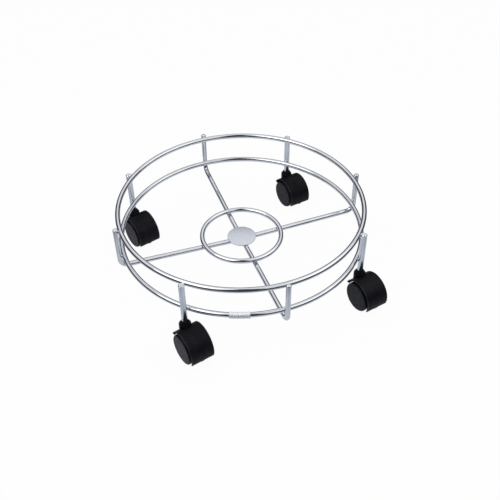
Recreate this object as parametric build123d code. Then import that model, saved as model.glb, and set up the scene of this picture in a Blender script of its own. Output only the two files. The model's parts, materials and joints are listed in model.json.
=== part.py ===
from build123d import *

import os
from math import cos, degrees, radians, sin

# Wire frame
wire_d = 6.0                # every ring and spoke is bent from this wire
ring_r = 147.0              # centreline radius of the top and lower rings
ring_spacing = 38.0         # from the lower ring's centreline up to the top ring's
ring_clearance = 12.5       # from the top of a caster's neck up to the underside of the lower ring
spoke_drop = 14.0           # from the lower ring's centreline down to the spokes', at their bends
hub_dip = 4.0               # the spokes run down this far from their bends to the hub
spoke_bend_r = 10.0         # centreline radius of the bend from spoke to post
inner_ring_r = 49.0         # centreline radius of the small ring round the hub
spoke_end_gap = 0.5         # from the hub's axis planes to the spoke ends under the disc
post_rise = 4.0             # posts end this far above the top ring's centreline
post_end_round = 1.2
weld_set = 0.2              # crossing wires sink this far into each other at a weld

# Hub disc and blank plate
disc_d = 35.5
disc_t = 1.5
disc_edge = 0.3
plate_length = 23.5         # along the lower ring, on whose wire the plate is wrapped
plate_skirt = 1.6           # flat part, from the wire's middle down
plate_t = 0.8
plate_turn = 250.0          # where the plate sits round the lower ring
plate_wrap = 110.0          # the plate goes round the wire from its outside to this angle

# Caster stems
stem_d = 7.0
stem_rise = 2.0             # stems end this far above the top ring's centreline
stem_chamfer = 0.6
groove_depth = 0.6
groove_width = 1.3
groove_height = 7.0         # from the stem's foot to the middle of its groove

# Grip ring in the stem's groove
grip_t = 1.0
grip_width = 1.15
grip_gap = 60.0             # opening of the split ring, in degrees

# Wheels
wheel_d = 36.5
wheel_width = 9.8
wheel_round = 2.0           # rounding of the outer face's edge
wheel_inner_round = 0.6
rim_wall = 2.8
face_wall = 2.0
hub_wall = 2.25             # round the axle's bore
rib_count = 6
rib_t = 1.2
rib_inset = 1.2             # ribs stop this far short of the wheel's inner face
rib_bite = 0.6              # how far ribs and snap ridge run into the walls that carry them

# Axle
axle_d = 5.0
axle_end_gap = 0.4          # between the axle's end and the floor of the wheel's bore
axle_chamfer = 0.4
snap_width = 1.0
snap_height = 0.3           # the bore's ridge that holds the wheel in the axle's groove
snap_inset = 1.6            # from the wheel's inner face to the ridge's middle
snap_room = 0.2             # clearance round the ridge in its groove

# Caster housing
trail = 15.0                # from the stem's axis back to the axle
hood_wall = 1.5
hood_edge_round = 0.5
hood_front_angle = 152.0    # the hood's front edge, round the axle from the trailing side, in degrees
front_lip_t = 1.6           # lip that closes the hood's front edge in towards the tread
skirt_angle = 21.0          # the skirt ends this far below the axle's level, in degrees
web_t = 4.0
tab_angle = 4.0             # the web's foot shows below the skirt's edge by this turn
web_bite = 0.6              # how far the web runs into the hood's wall
boss_wall = 3.0             # round the axle
socket_wall = 2.0
socket_floor = 2.2
socket_depth = 27.5         # from the top of the neck down to the stem's foot
neck_wall = 3.55            # from the socket's bore to the outside of the neck
neck_foot_rise = 7.0        # from the axle's level up to the foot of the neck
neck_height = 21.0          # from the axle's level up to the foot of the neck's cone
neck_cone_height = 4.5
neck_lip = 0.45             # flat ring round the mouth of the socket
bore_mouth = 0.5            # chamfer at the mouth of the socket

# Clearances
running = 0.05              # radial, stem in socket and wheel on axle
side_clearance = 0.4        # between a wheel's inner face and the axle boss
socket_clearance = 0.35     # between a wheel's inner face and the socket
tread_clearance = 2.35      # between a wheel's tread and the hood
lip_clearance = 0.7         # between a wheel's tread and the hood's front lip
face_proud = 1.2            # a wheel's outer face stands out from the hood's edge
recess_room = 0.3           # round the grip ring inside the socket

# Where each caster stands round the ring, and how its axle is turned at rest, in degrees
corners = {
    "front_left": (226.4, 14.5),
    "front_right": (317.0, 12.0),
    "back_right": (46.8, 10.5),
    "back_left": (138.1, 17.0),
}
drawn_axle_turn = 90.0      # the casters are drawn with the axle along Y
spoke_turns = {"front": 270.0, "right": 0.0, "back": 90.0, "left": 180.0}

# Sizes that follow, across the caster
wire_r = wire_d / 2
stem_r = stem_d / 2
wheel_r = wheel_d / 2
axle_r = axle_d / 2
socket_r = stem_r + running
socket_outer_r = socket_r + socket_wall
neck_r = socket_r + neck_wall
neck_top_r = socket_r + bore_mouth + neck_lip
groove_r = stem_r - groove_depth
grip_outer_r = groove_r + grip_width
hood_inner_r = wheel_r + tread_clearance
hood_r = hood_inner_r + hood_wall
bore_r = axle_r + running
bore_depth = wheel_width - face_wall
hub_r = bore_r + hub_wall
boss_r = axle_r + boss_wall
wheel_inner_y = socket_outer_r + socket_clearance
wheel_face_y = wheel_inner_y + wheel_width
hood_half_width = wheel_face_y - face_proud
boss_half = wheel_inner_y - side_clearance
axle_half = wheel_face_y - face_wall - axle_end_gap
axle_groove_r = bore_r - snap_height - snap_room
axle_groove_width = snap_width + 2 * snap_room

# Heights and places that follow
axle_z = wheel_r
neck_foot_z = axle_z + neck_foot_rise
neck_cone_z = axle_z + neck_height
neck_top_z = neck_cone_z + neck_cone_height
stem_foot_z = neck_top_z - socket_depth
socket_foot_z = stem_foot_z - socket_floor
groove_z = stem_foot_z + groove_height
lower_ring_z = neck_top_z + ring_clearance + wire_r
top_ring_z = lower_ring_z + ring_spacing
spoke_z = lower_ring_z - spoke_drop
hub_z = spoke_z - hub_dip
stem_top_z = top_ring_z + stem_rise
weld_pitch = wire_d - weld_set
post_r = ring_r + weld_pitch
stem_place_r = ring_r + wire_r + stem_r - weld_set

on_base = (Align.CENTER, Align.CENTER, Align.MIN)


def save(solid, name):
    """Write one piece to its own file."""
    export_step(solid, f"parts/{name}.step")


def turned(solid, degrees):
    """The solid turned about the caddy's axis."""
    return solid.rotate(Axis.Z, degrees)


# Wire frame
def spoke_height(radius):
    """Height of a spoke's centreline on its straight run, at a radius from the caddy's axis."""
    return hub_z + hub_dip * radius / post_r


def wire_ring(radius, height):
    """A closed ring of wire."""
    return Pos(0, 0, height) * Torus(radius, wire_r)


def spoke():
    """One wire from the hub out below the rings and up outside them as a post, along +X."""
    end_r = wire_r + spoke_end_gap
    hub_end = (end_r, 0, spoke_height(end_r))
    corner = (post_r, 0, spoke_z)
    post_top = (post_r, 0, top_ring_z + post_rise)
    path = FilletPolyline(hub_end, corner, post_top, radius=spoke_bend_r)
    section = Plane(origin=hub_end, z_dir=path % 0) * Circle(wire_r)
    wire = sweep(section, path=path)
    top_edge = wire.edges().group_by(Axis.Z)[-1]
    return fillet(top_edge, post_end_round)


def hub_disc():
    """The plain disc that lies on the four spoke ends."""
    foot_z = spoke_height(disc_d / 2) + wire_r
    disc = Pos(0, 0, foot_z) * Cylinder(disc_d / 2, disc_t, align=on_base)
    return fillet(disc.faces().sort_by(Axis.Z)[-1].edges(), disc_edge)


def wrap_arc(radius):
    """The plate's arc round the lower ring's wire, at a radius from the wire's middle."""
    middle = radians(plate_wrap / 2)
    end = radians(plate_wrap)
    halfway = (radius * cos(middle), radius * sin(middle))
    return ThreePointArc((radius, 0), halfway, (radius * cos(end), radius * sin(end)))


def ring_plate():
    """The small blank plate wrapped over the outside of the lower ring's wire."""
    outer = wire_r + plate_t
    wrap_out = wrap_arc(outer)
    wrap_in = wrap_arc(wire_r)
    lip = Line(wrap_out @ 1, wrap_in @ 1)
    skirt = Polyline((outer, 0), (outer, -plate_skirt), (wire_r, -plate_skirt), (wire_r, 0))
    outline = Wire([wrap_out, lip, wrap_in] + skirt.edges())
    section = Pos(ring_r, 0, lower_ring_z) * (Plane.XZ * make_face(outline))
    spread = degrees(plate_length / (ring_r + outer))
    plate = revolve(section, Axis.Z, spread)
    return turned(plate, plate_turn - spread / 2)


# Casters, drawn with the stem on the Z axis, the axle behind it at +X and the axle along Y
def stem():
    """The rod that carries a caster, with a groove near its foot."""
    rod = Pos(0, 0, stem_foot_z) * Cylinder(stem_r, stem_top_z - stem_foot_z, align=on_base)
    rod = chamfer(rod.edges().filter_by(GeomType.CIRCLE), stem_chamfer)
    groove = Cylinder(stem_r + groove_depth, groove_width) - Cylinder(groove_r, groove_width)
    return rod - Pos(0, 0, groove_z) * groove


def grip_ring():
    """The split spring ring that sits in the stem's groove."""
    ring = Cylinder(grip_outer_r, grip_t) - Cylinder(groove_r, grip_t)
    reach = 2 * grip_outer_r
    half = grip_gap / 2
    corner = (reach * cos(radians(half)), reach * sin(radians(half)))
    mouth = Polyline((0, 0), corner, (corner[0], -corner[1]), close=True)
    wedge = extrude(make_face(mouth), amount=grip_t / 2, both=True)
    return Pos(0, 0, groove_z) * (ring - wedge)


def axle():
    """The pin through the housing's boss, with a groove at each end for the wheels."""
    pin = Cylinder(axle_r, 2 * axle_half)
    pin = chamfer(pin.edges().filter_by(GeomType.CIRCLE), axle_chamfer)
    groove = Cylinder(bore_r, axle_groove_width) - Cylinder(axle_groove_r, axle_groove_width)
    for side in (-1, 1):
        pin -= Pos(0, 0, side * (wheel_inner_y + snap_inset)) * groove
    return Pos(trail, 0, axle_z) * Rot(X=90) * pin


def wheel_profile():
    """Half section of a wheel: across is the radius, up is the distance from its inner face."""
    outline = Polyline(
        (0, wheel_width),
        (0, bore_depth),
        (bore_r, bore_depth),
        (bore_r, 0),
        (hub_r, 0),
        (hub_r, bore_depth),
        (wheel_r - rim_wall, bore_depth),
        (wheel_r - rim_wall, 0),
        (wheel_r, 0),
        (wheel_r, wheel_width),
        close=True,
    )
    return make_face(outline)


def wheel(side):
    """One wheel with its ribs, on the side of the middle plane that side gives."""
    body = revolve(Plane.XZ * wheel_profile(), Axis.Z)
    outer_edge = body.edges().group_by(Axis.Z)[-1]
    body = fillet(outer_edge, wheel_round)
    tread_edge = body.edges().group_by(Axis.Z)[0].sort_by(SortBy.RADIUS)[-1]
    body = fillet(tread_edge, wheel_inner_round)
    rib_length = wheel_r - rim_wall - hub_r + 2 * rib_bite
    rib_height = bore_depth - rib_inset + rib_bite
    rib = Box(rib_length, rib_t, rib_height, align=(Align.MIN, Align.CENTER, Align.MIN))
    rib = Pos(hub_r - rib_bite, 0, rib_inset) * rib
    for count in range(rib_count):
        body += rib.rotate(Axis.Z, count * 360 / rib_count)
    ridge = Cylinder(bore_r + rib_bite, snap_width) - Cylinder(bore_r - snap_height, snap_width)
    body += Pos(0, 0, snap_inset) * ridge
    tip = Rot(X=-90) if side > 0 else Rot(X=90)
    return Pos(trail, side * wheel_inner_y, axle_z) * tip * body


def arc_slab(outer_r, inner_r, start, end, half_width):
    """A slab along Y whose section is part of a ring round the axle, from start to end in degrees."""
    def spot(radius, angle):
        return (radius * cos(radians(angle)), radius * sin(radians(angle)))

    middle = (start + end) / 2
    edges = [ThreePointArc(spot(outer_r, start), spot(outer_r, middle), spot(outer_r, end))]
    if inner_r > 0:
        edges.append(Line(spot(outer_r, end), spot(inner_r, end)))
        edges.append(ThreePointArc(spot(inner_r, end), spot(inner_r, middle), spot(inner_r, start)))
        edges.append(Line(spot(inner_r, start), spot(outer_r, start)))
    else:
        edges.append(Line(spot(outer_r, end), (0, 0)))
        edges.append(Line((0, 0), spot(outer_r, start)))
    face = make_face(Plane.XZ * Wire(edges))
    return Pos(trail, 0, axle_z) * extrude(face, amount=half_width, both=True)


def neck():
    """The collar round the stem, with its coned top, down to the hood's shell."""
    collar = Pos(0, 0, neck_foot_z) * Cylinder(neck_r, neck_cone_z - neck_foot_z, align=on_base)
    cone = Pos(0, 0, neck_cone_z) * Cone(neck_r, neck_top_r, neck_cone_height, align=on_base)
    wheel_room = Pos(trail, 0, axle_z) * Rot(X=90) * Cylinder(hood_inner_r, 2 * hood_half_width)
    return collar + cone - wheel_room


def stem_room():
    """What is cut from the housing for the stem and its grip ring."""
    bore = Pos(0, 0, stem_foot_z) * Cylinder(socket_r, socket_depth, align=on_base)
    mouth = Cone(socket_r, socket_r + bore_mouth, bore_mouth, align=on_base)
    recess = Cylinder(grip_outer_r + recess_room, grip_t + 2 * recess_room)
    return bore + Pos(0, 0, neck_top_z - bore_mouth) * mouth + Pos(0, 0, groove_z) * recess


def caster_housing():
    """Hood, web, axle boss and neck with the stem's socket, moulded in one."""
    foot_angle = -skirt_angle - tab_angle
    hood = arc_slab(hood_r, hood_inner_r, -skirt_angle, hood_front_angle, hood_half_width)
    hood = fillet(hood.edges().filter_by(GeomType.CIRCLE), hood_edge_round)
    lip_start = hood_front_angle - degrees(front_lip_t / hood_inner_r)
    lip_half_width = hood_half_width - hood_edge_round
    lip_inner_r = wheel_r + lip_clearance
    lip = arc_slab(hood_inner_r + web_bite, lip_inner_r, lip_start, hood_front_angle, lip_half_width)
    web = arc_slab(hood_inner_r + web_bite, 0, foot_angle, hood_front_angle, web_t / 2)
    tab = arc_slab(hood_r, hood_inner_r, foot_angle, -skirt_angle, web_t / 2)
    across = Pos(trail, 0, axle_z) * Rot(X=90)
    boss = across * Cylinder(boss_r, 2 * boss_half)
    socket = Pos(0, 0, socket_foot_z) * Cylinder(socket_outer_r, neck_cone_z - socket_foot_z, align=on_base)
    axle_hole = across * Cylinder(axle_r, 2 * hood_half_width)
    return hood + lip + web + tab + boss + neck() + socket - stem_room() - axle_hole


def place(solid, corner):
    """Set a caster's piece at its corner, turned as the caster rests."""
    stem_turn, axle_turn = corners[corner]
    spot = Pos(stem_place_r * cos(radians(stem_turn)), stem_place_r * sin(radians(stem_turn)), 0)
    return spot * Rot(Z=axle_turn - drawn_axle_turn) * solid


os.makedirs("parts", exist_ok=True)

save(wire_ring(ring_r, top_ring_z), "top_ring")
save(wire_ring(ring_r, lower_ring_z), "lower_ring")
save(wire_ring(inner_ring_r, spoke_height(inner_ring_r) + weld_pitch), "inner_ring")
for name, turn in spoke_turns.items():
    save(turned(spoke(), turn), f"spoke_{name}")
save(hub_disc(), "hub_disc")
save(ring_plate(), "ring_plate")

for corner in corners:
    save(place(stem(), corner), f"{corner}_stem")
    save(place(grip_ring(), corner), f"{corner}_grip_ring")
    save(place(caster_housing(), corner), f"{corner}_caster_housing")
    save(place(axle(), corner), f"{corner}_axle")
    save(place(wheel(-1), corner), f"{corner}_wheel_left")
    save(place(wheel(1), corner), f"{corner}_wheel_right")
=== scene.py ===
"""The looks of a round chrome wire plant caddy on four hooded twin-wheel casters."""

import json
import logging
import math
from dataclasses import dataclass
from enum import Enum

import bmesh
import bpy
from mathutils import Matrix, Vector


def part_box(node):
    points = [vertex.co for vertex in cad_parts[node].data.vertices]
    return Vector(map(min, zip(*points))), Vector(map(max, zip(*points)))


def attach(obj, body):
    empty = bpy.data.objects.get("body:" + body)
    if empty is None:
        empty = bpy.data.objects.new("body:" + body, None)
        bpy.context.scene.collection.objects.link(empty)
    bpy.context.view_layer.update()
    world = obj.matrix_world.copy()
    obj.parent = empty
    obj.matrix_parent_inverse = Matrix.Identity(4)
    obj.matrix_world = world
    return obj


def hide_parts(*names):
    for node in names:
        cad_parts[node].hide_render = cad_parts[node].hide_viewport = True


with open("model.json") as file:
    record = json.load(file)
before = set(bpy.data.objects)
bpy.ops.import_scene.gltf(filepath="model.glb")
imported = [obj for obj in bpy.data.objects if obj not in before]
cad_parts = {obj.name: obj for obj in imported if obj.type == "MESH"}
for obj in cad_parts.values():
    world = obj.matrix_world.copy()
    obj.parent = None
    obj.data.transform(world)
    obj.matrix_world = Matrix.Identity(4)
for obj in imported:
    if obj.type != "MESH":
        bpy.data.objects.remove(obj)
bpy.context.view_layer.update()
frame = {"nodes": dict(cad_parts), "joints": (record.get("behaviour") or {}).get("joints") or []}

LOG = logging.getLogger("caddy")

MM = 0.001
FULL_TURN = math.tau
JOIN_DISTANCE = 1e-7

Colour = tuple[float, float, float, float]
WHITE: Colour = (1.0, 1.0, 1.0, 1.0)


class Slot(Enum):
    """The record's material slots, by which the casters' parts pick their finish."""

    WIRE = "chrome_wire"
    STEM = "caster_stem"
    SPRING = "grip_spring"
    AXLE = "axle_steel"
    HOOD = "hood_plastic"
    WHEEL = "wheel_plastic"


class Corner(Enum):
    """The four casters, by where they stand."""

    FRONT_LEFT = "front_left"
    FRONT_RIGHT = "front_right"
    BACK_RIGHT = "back_right"
    BACK_LEFT = "back_left"


class Side(Enum):
    """The two wheels of a caster."""

    LEFT = "left"
    RIGHT = "right"


class Graph:
    """Adds and joins the nodes of one material or of the world."""

    def __init__(self, tree: bpy.types.NodeTree) -> None:
        """Start with an empty tree.

        Args:
            tree: the node tree to fill.
        """
        self.tree = tree
        tree.nodes.clear()

    def node(self, kind: str, **settings: object) -> bpy.types.Node:
        """Add one node.

        Args:
            kind: the node's type name.
            settings: properties of the node, by name.

        Returns:
            The new node.
        """
        made = self.tree.nodes.new(kind)
        for name, value in settings.items():
            setattr(made, name, value)
        return made

    def join(self, source: bpy.types.NodeSocket, target: bpy.types.NodeSocket) -> None:
        """Link two sockets."""
        self.tree.links.new(source, target)

    def feed(self, socket: bpy.types.NodeSocket, value: object) -> None:
        """Link a socket to another, or set its constant.

        Args:
            socket: the input to feed.
            value: a socket to link from, or a constant.
        """
        if isinstance(value, bpy.types.NodeSocket):
            self.join(value, socket)
        else:
            socket.default_value = value

    def maths(self, operation: str, first: object, second: object = 0.0) -> bpy.types.NodeSocket:
        """Add a Math node.

        Args:
            operation: the node's operation.
            first: the first number or socket.
            second: the second number or socket.

        Returns:
            The node's result.
        """
        made = self.node("ShaderNodeMath", operation=operation)
        self.feed(made.inputs[0], first)
        self.feed(made.inputs[1], second)
        return made.outputs[0]

    def dot(self, vector: bpy.types.NodeSocket,
            direction: tuple[float, float, float]) -> bpy.types.NodeSocket:
        """Measure a vector along a direction.

        Args:
            vector: the vector's socket.
            direction: the fixed direction.

        Returns:
            The dot product's socket.
        """
        made = self.node("ShaderNodeVectorMath", operation="DOT_PRODUCT")
        self.join(vector, made.inputs[0])
        made.inputs[1].default_value = direction
        return made.outputs["Value"]

    def step(self, value: bpy.types.NodeSocket, start: float, end: float,
             low: float = 0.0, high: float = 1.0) -> bpy.types.NodeSocket:
        """Ease from low to high while a value goes from start to end.

        Args:
            value: the value's socket.
            start: where the easing starts.
            end: where it ends.
            low: the result before the start.
            high: the result after the end.

        Returns:
            The eased value's socket.
        """
        made = self.node("ShaderNodeMapRange", interpolation_type="SMOOTHSTEP")
        self.join(value, made.inputs["Value"])
        made.inputs["From Min"].default_value = start
        made.inputs["From Max"].default_value = end
        made.inputs["To Min"].default_value = low
        made.inputs["To Max"].default_value = high
        return made.outputs["Result"]

    def noise(self, coordinates: bpy.types.NodeSocket, scale: float,
              detail: float) -> bpy.types.NodeSocket:
        """Add a noise pattern.

        Args:
            coordinates: the pattern's coordinates.
            scale: features for each metre.
            detail: octaves of the noise.

        Returns:
            The pattern's value, about 0 to 1.
        """
        made = self.node("ShaderNodeTexNoise")
        made.inputs["Scale"].default_value = scale
        made.inputs["Detail"].default_value = detail
        self.join(coordinates, made.inputs["Vector"])
        return made.outputs["Fac"]

    def blend(self, amount: object, first: object, second: object) -> bpy.types.NodeSocket:
        """Mix two colours.

        Args:
            amount: how much of the second colour, 0 to 1.
            first: the first colour or socket.
            second: the second colour or socket.

        Returns:
            The mixed colour's socket.
        """
        made = self.node("ShaderNodeMix", data_type="RGBA")
        self.feed(made.inputs["Factor"], amount)
        self.feed(made.inputs["A"], first)
        self.feed(made.inputs["B"], second)
        return made.outputs["Result"]

    def bump(self, height: bpy.types.NodeSocket, depth: float, strength: float,
             under: bpy.types.NodeSocket | None = None) -> bpy.types.NodeSocket:
        """Add a bump.

        Args:
            height: the pattern that raises the surface.
            depth: the bump's height, in metres.
            strength: how much of it shows.
            under: the normal of a bump below this one, if there is one.

        Returns:
            The bumped normal's socket.
        """
        made = self.node("ShaderNodeBump")
        made.inputs["Strength"].default_value = strength
        made.inputs["Distance"].default_value = depth
        self.join(height, made.inputs["Height"])
        if under is not None:
            self.join(under, made.inputs["Normal"])
        return made.outputs["Normal"]


def new_material(name: str) -> tuple[bpy.types.Material, Graph, bpy.types.Node, bpy.types.NodeSocket]:
    """Start a material with a principled shader and object coordinates.

    Args:
        name: the material's name.

    Returns:
        The material, its graph, its shader and the object coordinates.
    """
    material = bpy.data.materials.new(name)
    material.use_nodes = True
    graph = Graph(material.node_tree)
    output = graph.node("ShaderNodeOutputMaterial")
    shader = graph.node("ShaderNodeBsdfPrincipled")
    graph.join(shader.outputs["BSDF"], output.inputs["Surface"])
    coordinates = graph.node("ShaderNodeTexCoord").outputs["Object"]
    return material, graph, shader, coordinates


@dataclass(frozen=True)
class PlatedSteel:
    """Bright plating over drawn steel, with the slight clouding and ripple of a dipped finish."""

    name: str
    bright: Colour
    cloudy: Colour
    polish: float
    dull: float
    ripple_depth: float
    cloud_scale: float = 38.0
    wear_scale: float = 420.0
    ripple_scale: float = 150.0
    pit_scale: float = 2400.0
    pit_share: float = 1 / 12
    cloud_edges: tuple[float, float] = (0.35, 0.7)
    wear_edges: tuple[float, float] = (0.42, 0.75)
    ripple_strength: float = 0.6
    pit_strength: float = 0.25

    def make(self) -> bpy.types.Material:
        """Build the plating.

        Returns:
            The finished material.
        """
        material, graph, shader, place = new_material(self.name)
        clouds = graph.step(graph.noise(place, self.cloud_scale, 3.0), *self.cloud_edges)
        graph.join(graph.blend(clouds, self.bright, self.cloudy), shader.inputs["Base Color"])
        scuffs = graph.noise(place, self.wear_scale, 4.0)
        wear = graph.step(scuffs, *self.wear_edges, self.polish, self.dull)
        graph.join(wear, shader.inputs["Roughness"])
        ripple = graph.bump(graph.noise(place, self.ripple_scale, 1.0), self.ripple_depth, self.ripple_strength)
        pit_depth = self.ripple_depth * self.pit_share
        pits = graph.bump(graph.noise(place, self.pit_scale, 2.0), pit_depth, self.pit_strength, ripple)
        graph.join(pits, shader.inputs["Normal"])
        shader.inputs["Metallic"].default_value = 1.0
        return material


@dataclass(frozen=True)
class MouldedPlastic:
    """Black moulded plastic with a fine spark-eroded grain and faint flow marks."""

    name: str
    deep: Colour
    worn: Colour
    smooth: float
    rough: float
    sheen: float
    grain_depth: float
    grain_scale: float
    flow_scale: float = 90.0
    matt_scale: float = 320.0
    shrink_scale: float = 120.0
    index: float = 1.5
    flow_edges: tuple[float, float] = (0.4, 0.75)
    matt_edges: tuple[float, float] = (0.3, 0.7)
    shrink_strength: float = 0.3
    grain_strength: float = 0.5

    def make(self) -> bpy.types.Material:
        """Build the plastic.

        Returns:
            The finished material.
        """
        material, graph, shader, place = new_material(self.name)
        flow = graph.step(graph.noise(place, self.flow_scale, 3.0), *self.flow_edges)
        graph.join(graph.blend(flow, self.deep, self.worn), shader.inputs["Base Color"])
        matt = graph.step(graph.noise(place, self.matt_scale, 3.0), *self.matt_edges, self.smooth, self.rough)
        graph.join(matt, shader.inputs["Roughness"])
        sinks = graph.noise(place, self.shrink_scale, 1.0)
        shrink = graph.bump(sinks, self.grain_depth, self.shrink_strength)
        texture = graph.noise(place, self.grain_scale, 2.0)
        grain = graph.bump(texture, self.grain_depth, self.grain_strength, shrink)
        graph.join(grain, shader.inputs["Normal"])
        shader.inputs["IOR"].default_value = self.index
        shader.inputs["Specular IOR Level"].default_value = self.sheen
        return material


CHROME = PlatedSteel(
    name="bright_chrome",
    bright=(0.69, 0.705, 0.735, 1.0),
    cloudy=(0.60, 0.62, 0.655, 1.0),
    polish=0.045,
    dull=0.10,
    ripple_depth=0.00005,
)
SATIN_CHROME = PlatedSteel(
    name="satin_chrome",
    bright=(0.68, 0.705, 0.76, 1.0),
    cloudy=(0.65, 0.675, 0.735, 1.0),
    polish=0.30,
    dull=0.38,
    ripple_depth=0.00002,
)
PLATE_CHROME = PlatedSteel(
    name="brushed_plate",
    bright=(0.93, 0.95, 0.98, 1.0),
    cloudy=(0.91, 0.93, 0.965, 1.0),
    polish=0.62,
    dull=0.68,
    ripple_depth=0.000004,
)
STEM_STEEL = PlatedSteel(
    name="plated_stem",
    bright=(0.68, 0.71, 0.75, 1.0),
    cloudy=(0.58, 0.61, 0.66, 1.0),
    polish=0.14,
    dull=0.22,
    ripple_depth=0.00003,
)
SPRING_STEEL = PlatedSteel(
    name="spring_steel",
    bright=(0.42, 0.42, 0.43, 1.0),
    cloudy=(0.30, 0.29, 0.28, 1.0),
    polish=0.28,
    dull=0.45,
    ripple_depth=0.00002,
)
AXLE_STEEL = PlatedSteel(
    name="zinc_axle",
    bright=(0.55, 0.56, 0.58, 1.0),
    cloudy=(0.46, 0.46, 0.46, 1.0),
    polish=0.25,
    dull=0.42,
    ripple_depth=0.00002,
)
HOOD_BLACK = MouldedPlastic(
    name="hood_black",
    deep=(0.0040, 0.0039, 0.0064, 1.0),
    worn=(0.0065, 0.0063, 0.0098, 1.0),
    smooth=0.42,
    rough=0.58,
    sheen=0.12,
    grain_depth=0.00006,
    grain_scale=1900.0,
)
WHEEL_BLACK = MouldedPlastic(
    name="wheel_black",
    deep=(0.0034, 0.0034, 0.0054, 1.0),
    worn=(0.0060, 0.0060, 0.0086, 1.0),
    smooth=0.34,
    rough=0.50,
    sheen=0.12,
    grain_depth=0.00004,
    grain_scale=2600.0,
)
# Painted highlight: a lighter, glossier copy of the hood's black for the edge beads, so that each hood edge
# shows a light line.
RIM_HIGHLIGHT_BLACK = MouldedPlastic(
    name="rim_painted_highlight",
    deep=(0.012, 0.012, 0.016, 1.0),
    worn=(0.018, 0.018, 0.023, 1.0),
    smooth=0.26,
    rough=0.38,
    sheen=0.40,
    grain_depth=0.00001,
    grain_scale=2600.0,
)


def piece_from(bm: bmesh.types.BMesh, name: str, material: bpy.types.Material, body: str,
               crease: float = 32.0) -> bpy.types.Object:
    """Turn a finished bmesh into a smooth-shaded piece that rides on a body.

    Args:
        bm: the modelled mesh, in metres, in the caddy's own frame.
        name: the piece's name.
        material: its finish.
        body: the body that it moves with.
        crease: edges sharper than this angle, in degrees, stay sharp.

    Returns:
        The new object.
    """
    bmesh.ops.recalc_face_normals(bm, faces=bm.faces[:])
    mesh = bpy.data.meshes.new(name)
    bm.to_mesh(mesh)
    bm.free()
    mesh.polygons.foreach_set("use_smooth", [True] * len(mesh.polygons))
    mesh.set_sharp_from_angle(angle=math.radians(crease))
    mesh.materials.append(material)
    piece = bpy.data.objects.new(name, mesh)
    bpy.context.scene.collection.objects.link(piece)
    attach(piece, body)
    LOG.info("%s: %d faces, on %s", name, len(mesh.polygons), body)
    return piece


def lathe(bm: bmesh.types.BMesh, profile: list[tuple[float, float]], steps: int,
          place: Matrix = Matrix.Identity(4)) -> None:
    """Spin a half section round its own axis, and add the result to a mesh.

    Args:
        bm: the mesh to add to.
        profile: points of the half section, each its radius and its height.
        steps: how many faces go round.
        place: where the spun shape goes.
    """
    verts = [bm.verts.new((radius, 0.0, height)) for radius, height in profile]
    edges = [bm.edges.new(pair) for pair in zip(verts, verts[1:])]
    before = set(bm.verts) - set(verts)
    bmesh.ops.spin(bm, geom=verts + edges, cent=(0, 0, 0), axis=(0, 0, 1), angle=FULL_TURN, steps=steps,
                   use_merge=True)
    made = [vert for vert in bm.verts if vert not in before]
    bmesh.ops.remove_doubles(bm, verts=made, dist=JOIN_DISTANCE)
    made = [vert for vert in bm.verts if vert not in before]
    bmesh.ops.transform(bm, matrix=place, verts=made)


def rounded(profile: list[tuple[float, float]], corner: int, radius: float,
            steps: int) -> list[tuple[float, float]]:
    """Replace one right-angled corner of a half section with an arc.

    Args:
        profile: the half section's points.
        corner: which point is rounded.
        radius: the arc's radius.
        steps: how many runs the arc has.

    Returns:
        The longer list of points.
    """
    before, point, after = (Vector(profile[corner + shift]) for shift in (-1, 0, 1))
    back = (before - point).normalized() * radius
    ahead = (after - point).normalized() * radius
    centre = point + back + ahead
    arc = []
    for count in range(steps + 1):
        turn = count / steps * math.pi / 2
        arc.append(tuple(centre - ahead * math.cos(turn) - back * math.sin(turn)))
    return profile[:corner] + arc + profile[corner + 1:]


def open_edges(bm: bmesh.types.BMesh, verts: list[bmesh.types.BMVert]) -> list[bmesh.types.BMEdge]:
    """The edges of an open end whose vertices are all among the given ones."""
    chosen = set(verts)
    return [edge for edge in bm.edges if len(edge.link_faces) < 2 and set(edge.verts) <= chosen]


@dataclass
class WireRing:
    """A closed ring of round wire, its size taken from the node that it stands for."""

    node: str
    around: int = 320
    across: int = 28

    def __post_init__(self) -> None:
        """Read the ring's radius, height and wire from the frame."""
        low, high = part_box(self.node)
        self.wire_r = (high.z - low.z) / 2
        self.radius = (high.x - low.x) / 2 - self.wire_r
        self.height = (high.z + low.z) / 2

    def make(self, finish: bpy.types.Material) -> bpy.types.Object:
        """Build the ring.

        Args:
            finish: the plating.

        Returns:
            The ring's piece.
        """
        bm = bmesh.new()
        stand = Matrix.Translation((self.radius, 0, self.height)) @ Matrix.Rotation(math.pi / 2, 4, "X")
        bmesh.ops.create_circle(bm, cap_ends=False, radius=self.wire_r, segments=self.across, matrix=stand)
        bmesh.ops.spin(bm, geom=bm.verts[:] + bm.edges[:], cent=(0, 0, 0), axis=(0, 0, 1), angle=FULL_TURN,
                       steps=self.around, use_merge=True)
        bmesh.ops.remove_doubles(bm, verts=bm.verts[:], dist=JOIN_DISTANCE)
        ring = piece_from(bm, f"{self.node}_wire", finish, "frame", crease=60.0)
        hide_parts(self.node)
        return ring


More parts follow.
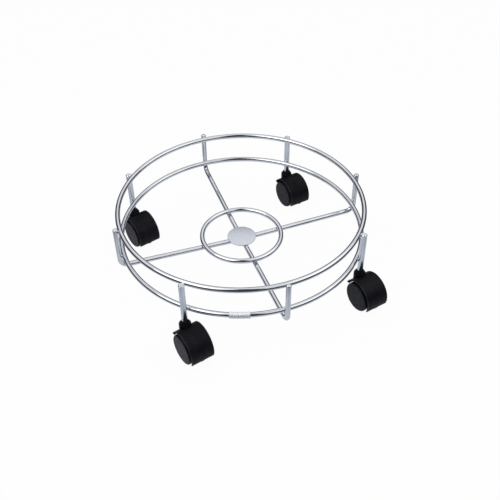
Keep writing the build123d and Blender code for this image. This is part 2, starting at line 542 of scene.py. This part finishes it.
@dataclass
class BentSpoke:
    """One wire from the hub out below the rings, bent up outside them as a post."""

    node: str
    turn: float
    bend_r: float = 10.0 * MM
    hub_dip: float = 4.0 * MM
    end_round: float = 1.2 * MM
    across: int = 28
    bend_steps: int = 14
    end_steps: int = 5

    def __post_init__(self) -> None:
        """Read the wire's run from the right spoke, which lies along X."""
        low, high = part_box("spoke_right")
        self.wire_r = (high.y - low.y) / 2
        self.post_r = high.x - self.wire_r
        self.top = high.z
        self.slope = math.atan2(self.hub_dip, self.post_r)
        lean = self.wire_r * math.cos(self.slope)
        self.hub_end = low.x + self.wire_r * math.sin(self.slope)
        self.hub_height = low.z + lean
        self.corner_height = self.hub_height + (self.post_r - self.hub_end) * math.tan(self.slope)

    def make(self, finish: bpy.types.Material) -> bpy.types.Object:
        """Build the wire, and turn it to its place.

        Args:
            finish: the plating.

        Returns:
            The spoke's piece.
        """
        bm = bmesh.new()
        bend_turn = math.pi / 2 - self.slope
        setback = self.bend_r * math.tan(bend_turn / 2)
        along = Vector((math.cos(self.slope), 0, math.sin(self.slope)))
        start = Vector((self.hub_end, 0, self.hub_height))
        corner = Vector((self.post_r, 0, self.corner_height))
        face_out = Matrix.Translation(start) @ Matrix.Rotation(bend_turn, 4, "Y")
        made = bmesh.ops.create_circle(bm, cap_ends=False, radius=self.wire_r, segments=self.across,
                                       matrix=face_out)
        end = self.drawn_out(bm, made["verts"], corner - along * setback - start)
        bend_centre = corner + Vector((-self.bend_r, 0, setback))
        bend = bmesh.ops.spin(bm, geom=end + open_edges(bm, end), cent=bend_centre, axis=(0, -1, 0),
                              angle=bend_turn, steps=self.bend_steps, use_merge=False)
        end = [item for item in bend["geom_last"] if isinstance(item, bmesh.types.BMVert)]
        end = self.drawn_out(bm, end, Vector((0, 0, self.top - corner.z - setback)))
        bmesh.ops.holes_fill(bm, edges=[edge for edge in bm.edges if len(edge.link_faces) == 1], sides=0)
        bmesh.ops.bevel(bm, geom=[edge for edge in bm.edges if set(edge.verts) <= set(end)],
                        offset=self.end_round, offset_type="OFFSET", affect="EDGES", segments=self.end_steps,
                        profile=0.5, material=-1)
        bmesh.ops.rotate(bm, cent=(0, 0, 0), matrix=Matrix.Rotation(math.radians(self.turn), 3, "Z"),
                         verts=bm.verts[:])
        spoke = piece_from(bm, f"{self.node}_wire", finish, "frame", crease=50.0)
        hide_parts(self.node)
        return spoke

    @staticmethod
    def drawn_out(bm: bmesh.types.BMesh, end: list[bmesh.types.BMVert],
                  run: Vector) -> list[bmesh.types.BMVert]:
        """Extrude the wire's open end along a straight run.

        Args:
            bm: the wire's mesh.
            end: the vertices of its open end.
            run: how far the end goes.

        Returns:
            The vertices of the new open end.
        """
        made = bmesh.ops.extrude_edge_only(bm, edges=open_edges(bm, end))
        new_end = [item for item in made["geom"] if isinstance(item, bmesh.types.BMVert)]
        bmesh.ops.translate(bm, vec=run, verts=new_end)
        return new_end


@dataclass
class HubDisc:
    """The plain stamped disc that covers the spoke ends."""

    node: str = "hub_disc"
    edge_round: float = 0.3 * MM
    edge_steps: int = 4
    steps: int = 96

    def make(self, finish: bpy.types.Material) -> bpy.types.Object:
        """Build the disc.

        Args:
            finish: the satin plating.

        Returns:
            The disc's piece.
        """
        low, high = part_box(self.node)
        radius = (high.x - low.x) / 2
        outline = [(0.0, low.z), (radius, low.z), (radius, high.z), (0.0, high.z)]
        bm = bmesh.new()
        lathe(bm, rounded(outline, 2, self.edge_round, self.edge_steps), self.steps)
        disc = piece_from(bm, "hub_disc_plate", finish, "frame", crease=40.0)
        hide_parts(self.node)
        return disc


@dataclass
class RingPlate:
    """The small blank plate on the lower ring, whose solid is shown as it is."""

    node: str = "ring_plate"

    def dress(self, finish: bpy.types.Material) -> None:
        """Give the plate its finish.

        Args:
            finish: the brushed plating.
        """
        plate = frame["nodes"][self.node]
        plate.data.materials.clear()
        plate.data.materials.append(finish)
        LOG.info("%s: dressed", self.node)


@dataclass
class CasterStem:
    """The plated rod that a caster turns on, with the groove of its grip ring."""

    corner: Corner
    chamfer: float = 0.6 * MM
    groove_depth: float = 0.6 * MM
    groove_width: float = 1.3 * MM
    groove_height: float = 7.0 * MM
    steps: int = 40

    def make(self, finish: bpy.types.Material) -> bpy.types.Object:
        """Build the rod at its corner.

        Args:
            finish: the plating.

        Returns:
            The stem's piece.
        """
        node = f"{self.corner.value}_stem"
        low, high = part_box(node)
        radius = (high.x - low.x) / 2
        middle = low.z + self.groove_height
        groove_r = radius - self.groove_depth
        half = self.groove_width / 2
        outline = [
            (0.0, low.z), (radius - self.chamfer, low.z), (radius, low.z + self.chamfer),
            (radius, middle - half), (groove_r, middle - half),
            (groove_r, middle + half), (radius, middle + half),
            (radius, high.z - self.chamfer), (radius - self.chamfer, high.z), (0.0, high.z),
        ]
        bm = bmesh.new()
        centre = Matrix.Translation(((low.x + high.x) / 2, (low.y + high.y) / 2, 0))
        lathe(bm, outline, self.steps, centre)
        stem = piece_from(bm, f"{node}_rod", finish, "frame")
        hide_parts(node)
        return stem


@dataclass
class WeldBeads:
    """The small plated nuggets where the wires and stems are resistance-welded together."""

    thickness: float = 1.1 * MM
    width: float = 2.3 * MM

    def make(self, finish: bpy.types.Material, posts: list[float], stems: list[float]) -> bpy.types.Object:
        """Build every bead as one mesh.

        Args:
            finish: the plating.
            posts: where the posts stand round the rings, in degrees.
            stems: where the stems stand round the rings, in degrees.

        Returns:
            The beads' piece.
        """
        bm = bmesh.new()
        upright = (self.thickness, self.width, self.width)
        for node in ("top_ring", "lower_ring"):
            ring = WireRing(node)
            for turn in posts + stems:
                self.bead(bm, turn, ring.radius + ring.wire_r, ring.height, upright)
        inner = WireRing("inner_ring")
        flat = (self.width, self.width, self.thickness)
        for turn in posts:
            self.bead(bm, turn, inner.radius, inner.height - inner.wire_r, flat)
        return piece_from(bm, "weld_beads", finish, "frame", crease=80.0)

    @staticmethod
    def bead(bm: bmesh.types.BMesh, turn: float, radius: float, height: float,
             size: tuple[float, float, float]) -> None:
        """Add one bead.

        Args:
            bm: the mesh to add to.
            turn: where it lies round the caddy, in degrees.
            radius: its distance from the caddy's axis.
            height: its height above the floor.
            size: its half lengths outwards, along the ring and upwards.
        """
        place = Matrix.Rotation(math.radians(turn), 4, "Z") @ Matrix.Translation((radius, 0, height))
        shape = Matrix.Diagonal((*size, 1.0))
        bmesh.ops.create_uvsphere(bm, u_segments=16, v_segments=10, radius=1.0, matrix=place @ shape)


@dataclass
class HoodRidges:
    """The fine ridges on a hood's shell: the mould's seam along its middle and a smooth bead at each edge,
    whose lighter, glossier black paints a highlight line along the edge.
    """

    corner: Corner
    trail: float = 15.0 * MM
    seam_width: float = 0.45 * MM
    seam_height: float = 0.20 * MM
    bead_width: float = 0.60 * MM
    bead_height: float = 0.06 * MM
    bead_inset: float = 0.55 * MM
    bite: float = 0.40 * MM
    crown_share: float = 0.4
    front_angle: float = 148.0
    skirt_angle: float = -20.0
    steps: int = 56

    def __post_init__(self) -> None:
        """Find the hood's axle and measure its shell."""
        name = self.corner.value
        spin = next(joint for joint in frame["joints"] if joint["name"] == f"{name}_left_spin")
        self.across = Vector(spin["axis"])
        self.behind = self.across.cross(Vector((0, 0, 1)))
        stem_low, stem_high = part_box(f"{name}_stem")
        stem = (stem_low + stem_high) / 2
        self.axle = Vector((stem.x, stem.y, spin["pos_m"][2])) + self.behind * self.trail
        housing = frame["nodes"][f"{name}_caster_housing"]
        points = [vert.co - self.axle for vert in housing.data.vertices]
        shell = [point for point in points if point.dot(self.behind) > -self.trail / 2]
        self.hood_r = max(point.z for point in shell)
        self.half_width = max(abs(point.dot(self.across)) for point in points)

    def make_seam(self, finish: bpy.types.Material) -> bpy.types.Object:
        """Build the mould's seam.

        Args:
            finish: the hood's plastic.

        Returns:
            The seam's piece.
        """
        bm = bmesh.new()
        self.ridge(bm, 0.0, self.seam_width, self.seam_height)
        return self.set_down(bm, "mould_seam", finish)

    def make_beads(self, finish: bpy.types.Material) -> bpy.types.Object:
        """Build the smooth beads at the hood's two edges, which carry a painted highlight line.

        Args:
            finish: the beads' plastic, a lighter, glossier copy of the hood's black that paints the edge's
                highlight.

        Returns:
            The beads' piece.
        """
        bm = bmesh.new()
        for side in (-1, 1):
            self.ridge(bm, side * (self.half_width - self.bead_inset), self.bead_width, self.bead_height)
        return self.set_down(bm, "edge_highlight_beads", finish)

    def ridge(self, bm: bmesh.types.BMesh, side: float, width: float, height: float) -> None:
        """Sweep one low ridge round the hood's shell.

        Args:
            bm: the mesh to add to.
            side: the ridge's distance from the hood's middle plane.
            width: its width at the foot.
            height: how far it stands out from the shell.
        """
        inner, outer, half = self.hood_r - self.bite, self.hood_r + height, width / 2
        crown = half * self.crown_share
        corners = [(inner, -half), (self.hood_r, -half), (outer, -crown),
                   (outer, crown), (self.hood_r, half), (inner, half)]
        verts = [bm.verts.new((radius, side + shift, 0)) for radius, shift in corners]
        edges = [bm.edges.new(pair) for pair in zip(verts, verts[1:] + verts[:1])]
        bmesh.ops.rotate(bm, cent=(0, 0, 0), verts=verts,
                         matrix=Matrix.Rotation(math.radians(-self.skirt_angle), 3, "Y"))
        sweep = math.radians(self.front_angle - self.skirt_angle)
        bmesh.ops.spin(bm, geom=verts + edges, cent=(0, 0, 0), axis=(0, -1, 0), angle=sweep, steps=self.steps,
                       use_merge=False)
        bmesh.ops.holes_fill(bm, edges=[edge for edge in bm.edges if len(edge.link_faces) == 1], sides=0)

    def set_down(self, bm: bmesh.types.BMesh, part: str, finish: bpy.types.Material) -> bpy.types.Object:
        """Stand swept ridges on the hood, and finish them as one piece.

        Args:
            bm: the ridges, swept round the origin with the axle along Y.
            part: the last part of the piece's name.
            finish: their plastic.

        Returns:
            The ridges' piece.
        """
        stand = Matrix((
            (self.behind.x, self.across.x, 0, self.axle.x),
            (self.behind.y, self.across.y, 0, self.axle.y),
            (0, 0, 1, self.axle.z),
            (0, 0, 0, 1),
        ))
        bmesh.ops.transform(bm, matrix=stand, verts=bm.verts[:])
        name = self.corner.value
        return piece_from(bm, f"{name}_{part}", finish, f"{name}_caster", crease=25.0)


class Wheelwork:
    """Dresses the casters' housings, wheels, axles and grip rings, whose solids are shown as they are."""

    def __init__(self) -> None:
        """Make the finishes that the four casters share."""
        self.finishes = {
            Slot.HOOD: HOOD_BLACK.make(),
            Slot.WHEEL: WHEEL_BLACK.make(),
            Slot.AXLE: AXLE_STEEL.make(),
            Slot.SPRING: SPRING_STEEL.make(),
        }
        # The edge beads' finish paints a highlight line along each hood edge.
        self.rim_highlight_finish = RIM_HIGHLIGHT_BLACK.make()

    def dress(self, node: str, slot: Slot) -> None:
        """Give a shown CAD node its finish.

        Args:
            node: the node's name.
            slot: the record's slot, which picks the finish.
        """
        shown = frame["nodes"][node]
        shown.data.materials.clear()
        shown.data.materials.append(self.finishes[slot])
        LOG.info("%s: dressed as %s", node, slot.value)

    def dress_corner(self, corner: Corner) -> None:
        """Dress one caster, and add the ridges on its hood.

        Args:
            corner: which caster.
        """
        self.dress(f"{corner.value}_caster_housing", Slot.HOOD)
        self.dress(f"{corner.value}_axle", Slot.AXLE)
        self.dress(f"{corner.value}_grip_ring", Slot.SPRING)
        for side in Side:
            self.dress(f"{corner.value}_wheel_{side.value}", Slot.WHEEL)
        ridges = HoodRidges(corner)
        ridges.make_seam(self.finishes[Slot.HOOD])
        ridges.make_beads(self.rim_highlight_finish)


@dataclass(frozen=True)
class Lamp:
    """One soft square lamp that points at the caddy; its size is in metres and its power in watts."""

    name: str
    place: tuple[float, float, float]
    size: float
    power: float

    def hang(self) -> None:
        """Put the lamp in the scene."""
        data = bpy.data.lights.new(self.name, "AREA")
        data.shape = "SQUARE"
        data.size = self.size
        data.energy = self.power
        lamp = bpy.data.objects.new(self.name, data)
        lamp.location = self.place
        lamp.rotation_euler = (-Vector(self.place)).to_track_quat("-Z", "Y").to_euler()
        bpy.context.scene.collection.objects.link(lamp)


@dataclass
class Studio:
    """A pale floor, a soft room of light and the camera at the photograph's angle."""

    camera_place: Vector = Vector((-218.5, -656.95, 643.65)) * MM
    camera_azimuth: float = 70.767
    camera_tilt: float = 41.921
    camera_roll: float = -0.777
    lens: float = 52.80
    sensor: float = 36.0
    clip_start: float = 10.0 * MM
    floor_r: float = 4.0
    floor_steps: int = 96
    floor_matt: Colour = (0.80, 0.80, 0.81, 1.0)
    floor_glow: float = 0.96
    # The floor's painted reflection glow: bluish grey within this radius of the caddy, fading to near black
    # further out.
    reflected_glow_r: float = 0.17
    reflected_glow_fade: float = 2.4
    near_mirrored: Colour = (0.66, 0.69, 0.75, 1.0)
    far_mirrored: Colour = (0.06, 0.065, 0.08, 1.0)
    wall_top: float = 0.52
    wall_fade: tuple[float, float] = (0.12, 0.06)
    gap_edges: tuple[float, float] = (14.0, 26.0)
    dim_wall: Colour = (0.05, 0.052, 0.065, 1.0)
    bright_room: Colour = (0.98, 0.985, 1.0, 1.0)
    lamps: tuple[Lamp, ...] = (
        Lamp("key_lamp", (-0.9, -0.2, 1.5), 1.2, 7.0),
        Lamp("fill_lamp", (1.1, -0.5, 1.2), 1.4, 3.5),
    )
    floor_drop: float = 0.05 * MM

    def make(self) -> None:
        """Build the floor, the room's light, the lamps and the camera."""
        self.make_camera()
        self.make_floor()
        self.make_room()
        for lamp in self.lamps:
            lamp.hang()
        bpy.context.scene.view_settings.view_transform = "Standard"

    def make_camera(self) -> None:
        """Stand the camera where the photograph was taken from."""
        data = bpy.data.cameras.new("camera")
        data.lens = self.lens
        data.sensor_width = self.sensor
        data.clip_start = self.clip_start
        camera = bpy.data.objects.new("camera", data)
        turn = Matrix.Rotation(math.radians(self.camera_azimuth - 90), 4, "Z")
        tilt = Matrix.Rotation(math.radians(90 - self.camera_tilt), 4, "X")
        roll = Matrix.Rotation(math.radians(self.camera_roll), 4, "Z")
        camera.matrix_world = Matrix.Translation(self.camera_place) @ turn @ tilt @ roll
        bpy.context.scene.collection.objects.link(camera)
        bpy.context.scene.camera = camera

    def make_floor(self) -> None:
        """Lay the pale floor, which shows almost white and keeps the caddy's soft shadow; seen in the metal it
        glows with painted reflections, bluish grey round the caddy and near black further out.
        """
        bm = bmesh.new()
        down = Matrix.Translation((0, 0, -self.floor_drop))
        bmesh.ops.create_circle(bm, cap_ends=True, radius=self.floor_r, segments=self.floor_steps,
                                matrix=down)
        mesh = bpy.data.meshes.new("floor")
        bm.to_mesh(mesh)
        bm.free()
        floor = bpy.data.objects.new("floor", mesh)
        bpy.context.scene.collection.objects.link(floor)
        material = bpy.data.materials.new("pale_floor")
        material.use_nodes = True
        graph = Graph(material.node_tree)
        output = graph.node("ShaderNodeOutputMaterial")
        matt = graph.node("ShaderNodeBsdfDiffuse")
        matt.inputs["Color"].default_value = self.floor_matt
        path = graph.node("ShaderNodeLightPath")
        glow = graph.node("ShaderNodeEmission")
        spot = graph.node("ShaderNodeVectorMath", operation="LENGTH")
        graph.join(graph.node("ShaderNodeTexCoord").outputs["Object"], spot.inputs[0])
        # Painted reflections: rays off the metal see the floor glow bluish grey near the caddy and near black
        # further out, which paints bright and dark bands on the chrome.
        far = graph.step(spot.outputs["Value"], self.reflected_glow_r, self.reflected_glow_r * self.reflected_glow_fade)
        mirrored = graph.blend(far, self.near_mirrored, self.far_mirrored)
        seen = graph.blend(path.outputs["Is Glossy Ray"], WHITE, mirrored)
        graph.join(seen, glow.inputs["Color"])
        share = graph.maths("MAXIMUM", path.outputs["Is Camera Ray"], path.outputs["Is Glossy Ray"])
        mix = graph.node("ShaderNodeMixShader")
        graph.join(graph.maths("MULTIPLY", share, self.floor_glow), mix.inputs["Fac"])
        graph.join(matt.outputs["BSDF"], mix.inputs[1])
        graph.join(glow.outputs["Emission"], mix.inputs[2])
        clear = graph.node("ShaderNodeBsdfTransparent")
        one_way = graph.node("ShaderNodeMixShader")
        graph.join(graph.node("ShaderNodeNewGeometry").outputs["Backfacing"], one_way.inputs["Fac"])
        graph.join(mix.outputs["Shader"], one_way.inputs[1])
        graph.join(clear.outputs["BSDF"], one_way.inputs[2])
        graph.join(one_way.outputs["Shader"], output.inputs["Surface"])
        mesh.materials.append(material)

    def make_room(self) -> None:
        """Light the scene with a pale room that has a dim gap behind the camera and a dim skirting."""
        world = bpy.data.worlds.new("studio_room")
        bpy.context.scene.world = world
        world.use_nodes = True
        graph = Graph(world.node_tree)
        output = graph.node("ShaderNodeOutputWorld")
        outward = graph.node("ShaderNodeTexCoord").outputs["Generated"]
        towards = math.radians(self.camera_azimuth + 180)
        ahead = graph.dot(outward, (math.cos(towards), math.sin(towards), 0.0))
        across = graph.dot(outward, (-math.sin(towards), math.cos(towards), 0.0))
        height = graph.dot(outward, (0.0, 0.0, 1.0))
        off_side = graph.maths("ABSOLUTE", graph.maths("ARCTAN2", across, ahead))
        gap = graph.step(off_side, *(math.radians(edge) for edge in self.gap_edges))
        below, above = self.wall_fade
        overhead = graph.step(height, self.wall_top - below, self.wall_top + above)
        bright = graph.maths("MULTIPLY", gap, overhead)
        walls = graph.blend(bright, self.dim_wall, self.bright_room)
        room = graph.node("ShaderNodeBackground")
        graph.join(walls, room.inputs["Color"])
        room.inputs["Strength"].default_value = 1.0
        plain = graph.node("ShaderNodeBackground")
        plain.inputs["Color"].default_value = WHITE
        path = graph.node("ShaderNodeLightPath")
        mix = graph.node("ShaderNodeMixShader")
        graph.join(path.outputs["Is Camera Ray"], mix.inputs["Fac"])
        graph.join(room.outputs["Background"], mix.inputs[1])
        graph.join(plain.outputs["Background"], mix.inputs[2])
        graph.join(mix.outputs["Shader"], output.inputs["Surface"])


SPOKE_TURNS = {"spoke_right": 0.0, "spoke_back": 90.0, "spoke_left": 180.0, "spoke_front": 270.0}
RINGS = ("top_ring", "lower_ring", "inner_ring")


def main() -> None:
    """Build the caddy's looks and its studio."""
    logging.basicConfig(level=logging.INFO)
    Studio().make()
    chrome = CHROME.make()
    satin = SATIN_CHROME.make()
    stem_finish = STEM_STEEL.make()
    for node in RINGS:
        WireRing(node).make(chrome)
    for node, turn in SPOKE_TURNS.items():
        BentSpoke(node, turn).make(chrome)
    HubDisc().make(satin)
    RingPlate().dress(PLATE_CHROME.make())
    wheelwork = Wheelwork()
    stem_turns = []
    for corner in Corner:
        CasterStem(corner).make(stem_finish)
        wheelwork.dress_corner(corner)
        low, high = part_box(f"{corner.value}_stem")
        stem_turns.append(math.degrees(math.atan2(low.y + high.y, low.x + high.x)))
    WeldBeads().make(chrome, list(SPOKE_TURNS.values()), stem_turns)


if __name__ == "__main__":
    main()
